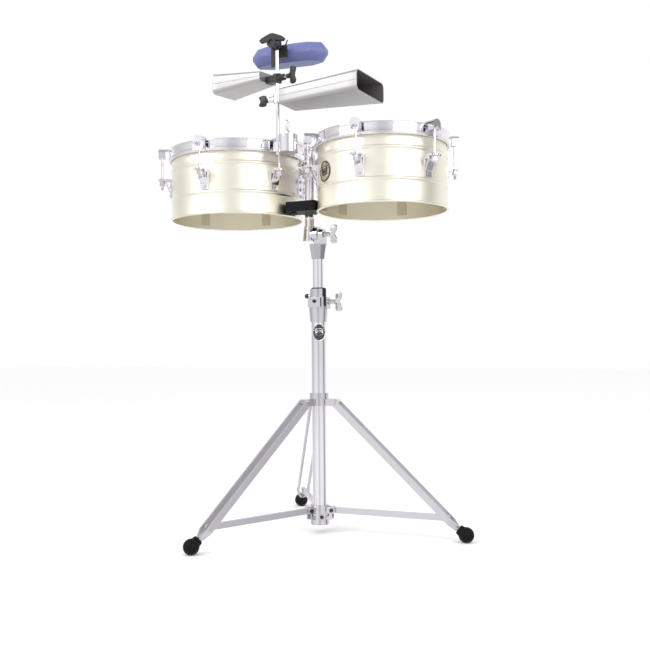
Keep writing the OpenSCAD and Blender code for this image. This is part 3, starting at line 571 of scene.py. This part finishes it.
def relief(outline, radius, z, base, height):
    """A small raised shape on a wrapped plate."""
    n = len(outline)
    verts, faces = [], []
    for h in (base, base + height):
        for s, v in outline:
            a, q = s / radius, radius + h
            verts.append((q * math.cos(a) * MM, q * math.sin(a) * MM, (z + v) * MM))
    for i in range(n):
        faces.append((i, (i + 1) % n, n + (i + 1) % n, n + i))
    faces.append(tuple(n + i for i in range(n)))
    return verts, faces


def badge(name, body, matrix, radius, z, w, h, thick, face_mat, rim_mat, slot_name):
    """Oval plate with a raised rim and a plain picture of a drum between two groups of rays."""
    edge = ellipse(w, h, 64)
    top = thick * 0.62
    face = [(k, top) for k in (0.95, 0.8, 0.55, 0.3, 0.05)]
    plate = wrapped(edge, [(1.0, 0.02), (0.995, thick * 0.5)] + face, radius, z)
    add(name + "_plate", *plate, face_mat, body, matrix, 40, slot=slot_name, stands_for=(name,))
    verts, faces = wrapped(edge, [(0.87, thick * 0.6), (0.885, thick), (0.93, thick * 1.05), (0.985, thick),
                                  (1.0, thick * 0.55), (1.0, 0.03)], radius, z)
    add(name + "_rim", verts, faces[:-1], rim_mat, body, matrix, 60)
    k = w / 40.0              # the picture is drawn for a plate 40 mm wide
    raised = thick * 0.3
    shapes = [strip_between(ellipse(21 * k, 7 * k, 32), ellipse(15 * k, 3.6 * k, 32), radius, z, top, raised,
                            dz=7 * k)]

    def bow(xs, half, level, sag):
        return [(x * k, (level + sag * math.sqrt(max(0, 1 - (x / half) ** 2))) * k) for x in xs]
    side = [(-10.5 * k, 7 * k), (-10.5 * k, -5 * k)] + bow((-9, -6, -3, 0, 3, 6, 9), 10.5, -5, -3.2)
    side += [(10.5 * k, -5 * k), (10.5 * k, 7 * k), (8.6 * k, 5 * k)] + bow((6, 3, 0, -3, -6), 8.6, 5, -3.0)
    shapes.append(relief(side + [(-8.6 * k, 5 * k)], radius, z, top, raised))
    near, far = 13.5 * k, 17.5 * k
    for a in (-1, 1):
        for b in (0, 1, 2):
            ang = math.radians(90 - a * (32 + 22 * b))
            c, s = math.cos(ang), math.sin(ang)
            ray = [(r * c - t * s, (r * s + t * c) * h / w)
                   for r, t in ((near, 0.6 * k), (near, -0.6 * k), (far, -1.0 * k), (far, 1.0 * k))]
            shapes.append(relief(ray, radius, z, top, raised))
    add(name + "_picture", *merged(shapes), rim_mat, body, matrix, 0)


def strip_between(outer, inner, radius, z, base, height, dz):
    """A raised band between two outlines of a wrapped plate."""
    n = len(outer)
    verts, faces = [], []
    for loop, h in ((outer, base), (outer, base + height), (inner, base + height), (inner, base)):
        for s, v in loop:
            a, q = s / radius, radius + h
            verts.append((q * math.cos(a) * MM, q * math.sin(a) * MM, (z + v + dz) * MM))
    for k in range(3):
        for i in range(n):
            j = (i + 1) % n
            faces.append((k * n + i, k * n + j, (k + 1) * n + j, (k + 1) * n + i))
    return verts, faces


BASE_TUBE_R = 19.05
DRUM_BADGE_TURN, STAND_BADGE_TURN = 51.4, -60
badge("drum_badge", "right_drum", right_at @ Matrix.Rotation(math.radians(DRUM_BADGE_TURN), 4, "Z"), right_r,
      mid("drum_badge").z / MM, 52, 52, 1.6, BADGE_BRASS, DARK_STEEL, "badge_brass")
badge("stand_badge", "frame", turned((SX, SY, 0), STAND_BADGE_TURN), BASE_TUBE_R,
      mid("stand_badge").z / MM, 39, 47, 1.2, BADGE, CHROME, "badge_black")


# ---------- softening the edges of the cast and bent parts ----------

SOFT = {"height_clamp": 1.4, "leg_collar": 1.6, "hub": 1.6, "tilter_base": 1.2, "tilter_socket": 1.6,
        "left_bracket": 1.6, "right_bracket": 1.6, "holder": 1.8, "rest_bar": 4.0,
        "leg_a": 0.9, "leg_b": 0.9, "leg_c": 0.9, "brace_a": 1.2, "brace_b": 1.2, "brace_c": 1.2,
        "small_bell_clamp": 1.4, "big_bell_clamp": 1.4,
        "block_bracket": 1.5, "block": 2.5, "block_handle": 2.0,
        "left_hooks": 1.6, "right_hooks": 1.6, "left_lugs": 1.0, "right_lugs": 1.0,
        "left_screws": 0.9, "right_screws": 0.9, "left_strips": 0.4, "right_strips": 0.4,
        "clamp_fasteners": 0.6, "hub_fasteners": 0.6, "collar_rivets": 0.6}
MERGE_DISTANCE = 2e-5
BEVEL_ANGLE, SPLIT_ANGLE = math.radians(32), math.radians(35)
for name, o in nodes.items():
    if o.hide_render:
        continue
    o.data.polygons.foreach_set("use_smooth", [True] * len(o.data.polygons))
    if o.data.has_custom_normals:
        with bpy.context.temp_override(object=o, active_object=o, selected_objects=[o]):
            bpy.ops.mesh.customdata_custom_splitnormals_clear()
    weld = o.modifiers.new("weld", "WELD")
    weld.merge_threshold = MERGE_DISTANCE
    if name in SOFT:
        bv = o.modifiers.new("bevel", "BEVEL")
        bv.width = SOFT[name] * MM
        bv.segments = 3
        bv.limit_method = "ANGLE"
        bv.angle_limit = BEVEL_ANGLE
        bv.use_clamp_overlap = True
        bv.harden_normals = True
    es = o.modifiers.new("edges", "EDGE_SPLIT")
    es.split_angle = SPLIT_ANGLE


# ---------- stage: floor, light, camera ----------

FLOOR_SIZE = 30
bpy.ops.mesh.primitive_plane_add(size=1, location=(SX, SY, 0))
floor = bpy.context.object
floor.name = "floor"
floor.scale = (FLOOR_SIZE, FLOOR_SIZE, 1)
FLOOR = material("floor_white", (0.97, 0.97, 0.97), 0.0, 0.8, 0.05, 3, 0.005, spec=0.0)
floor.data.materials.append(FLOOR)
floor.visible_glossy = False

# The camera, from the foot of the stand, and where it looks
CAMERA = (0.9727, -2.1254, 0.4908)
HEADING, PITCH, ROLL = math.radians(24.17), math.radians(1.257), math.radians(-0.493)


# Position is the bearing from -180 to 180 degrees as 0 to 1, 0.5 being towards the viewer
BANDS = [(0.0, 1.0), (0.12, 0.95), (0.165, 0.62), (0.21, 0.66), (0.27, 0.82), (0.36, 1.0), (0.44, 0.95),
         (0.48, 0.66), (0.51, 0.68), (0.55, 0.95), (0.63, 0.9), (0.69, 0.84), (0.72, 0.36), (0.755, 0.34),
         (0.79, 0.85), (0.86, 0.98), (1.0, 1.0)]
# Position is the height of the direction, from straight down to straight up
HEIGHTS = [(0.0, 1.0), (0.3, 1.1), (0.44, 1.08), (0.5, 0.88), (0.56, 1.0), (0.66, 1.05),
           (0.8, 0.75), (1.0, 0.7)]


def studio():
    """White surroundings. Mirrors see soft grey bands in them, as between the lamps of a studio."""
    world = bpy.data.worlds.new("studio")
    bpy.context.scene.world = world
    world.use_nodes = True
    nt = world.node_tree
    back = nt.nodes["Background"]
    link = nt.links.new

    def math_node(kind, a, b=None):
        n = nt.nodes.new("ShaderNodeMath")
        n.operation = kind
        for i, v in enumerate((a, b)):
            if isinstance(v, (int, float)):
                n.inputs[i].default_value = v
            elif v is not None:
                link(v, n.inputs[i])
        return n.outputs[0]

    def ramp(value, stops):
        n = nt.nodes.new("ShaderNodeValToRGB")
        while len(n.color_ramp.elements) < len(stops):
            n.color_ramp.elements.new(0.5)
        for e, (at, grey) in zip(n.color_ramp.elements, stops):
            e.position = at
            e.color = (grey, grey, grey, 1)
        link(value, n.inputs[0])
        return n.outputs[0]

    xyz = nt.nodes.new("ShaderNodeSeparateXYZ")
    link(nt.nodes.new("ShaderNodeTexCoord").outputs["Generated"], xyz.inputs[0])
    c, n = math.cos(HEADING), math.sin(HEADING)
    x, y, z = xyz.outputs
    across = math_node("ADD", math_node("MULTIPLY", x, c), math_node("MULTIPLY", y, n))
    toward = math_node("SUBTRACT", math_node("MULTIPLY", x, n), math_node("MULTIPLY", y, c))
    bearing = math_node("DIVIDE", math_node("ARCTAN2", across, toward), 2 * math.pi)
    around = ramp(math_node("ADD", bearing, 0.5), BANDS)
    height = ramp(math_node("ADD", math_node("MULTIPLY", z, 0.5), 0.5), HEIGHTS)
    mirrored = math_node("MULTIPLY", around, height)
    mix = nt.nodes.new("ShaderNodeMix")
    path = nt.nodes.new("ShaderNodeLightPath")
    link(path.outputs["Is Glossy Ray"], mix.inputs["Factor"])
    mix.inputs["A"].default_value = 1.0
    link(mirrored, mix.inputs["B"])
    back.inputs[0].default_value = (1, 1, 1, 1)
    link(mix.outputs["Result"], back.inputs[1])


studio()

bpy.context.scene.view_settings.view_transform = "Standard"


def area(name, size, power, location, target):
    light = bpy.data.lights.new(name, "AREA")
    light.shape = "RECTANGLE"
    light.size, light.size_y = size
    light.energy = power
    o = bpy.data.objects.new(name, light)
    bpy.context.scene.collection.objects.link(o)
    o.location = location
    o.rotation_euler = (Vector(target) - Vector(location)).to_track_quat("-Z", "Y").to_euler()


area("key", (1.6, 1.6), 40, (SX - 1.6, SY - 2.2, 2.6), (SX, SY, 0.6))
area("fill", (1.6, 1.6), 20, (SX + 2.2, SY - 1.2, 1.8), (SX, SY, 0.6))

cam = bpy.data.objects.new("camera", bpy.data.cameras.new("camera"))
bpy.context.scene.collection.objects.link(cam)
bpy.context.scene.camera = cam
cam.data.sensor_width = 36
cam.data.lens = 49.18
cam.data.clip_start, cam.data.clip_end = 0.05, 60
cam.location = (SX + CAMERA[0], SY + CAMERA[1], CAMERA[2])
look = Vector((-math.sin(HEADING) * math.cos(PITCH), math.cos(HEADING) * math.cos(PITCH),
               math.sin(PITCH)))
cam.rotation_euler = (look.to_track_quat("-Z", "Y").to_matrix() @ Matrix.Rotation(ROLL, 3, "Z")).to_euler()
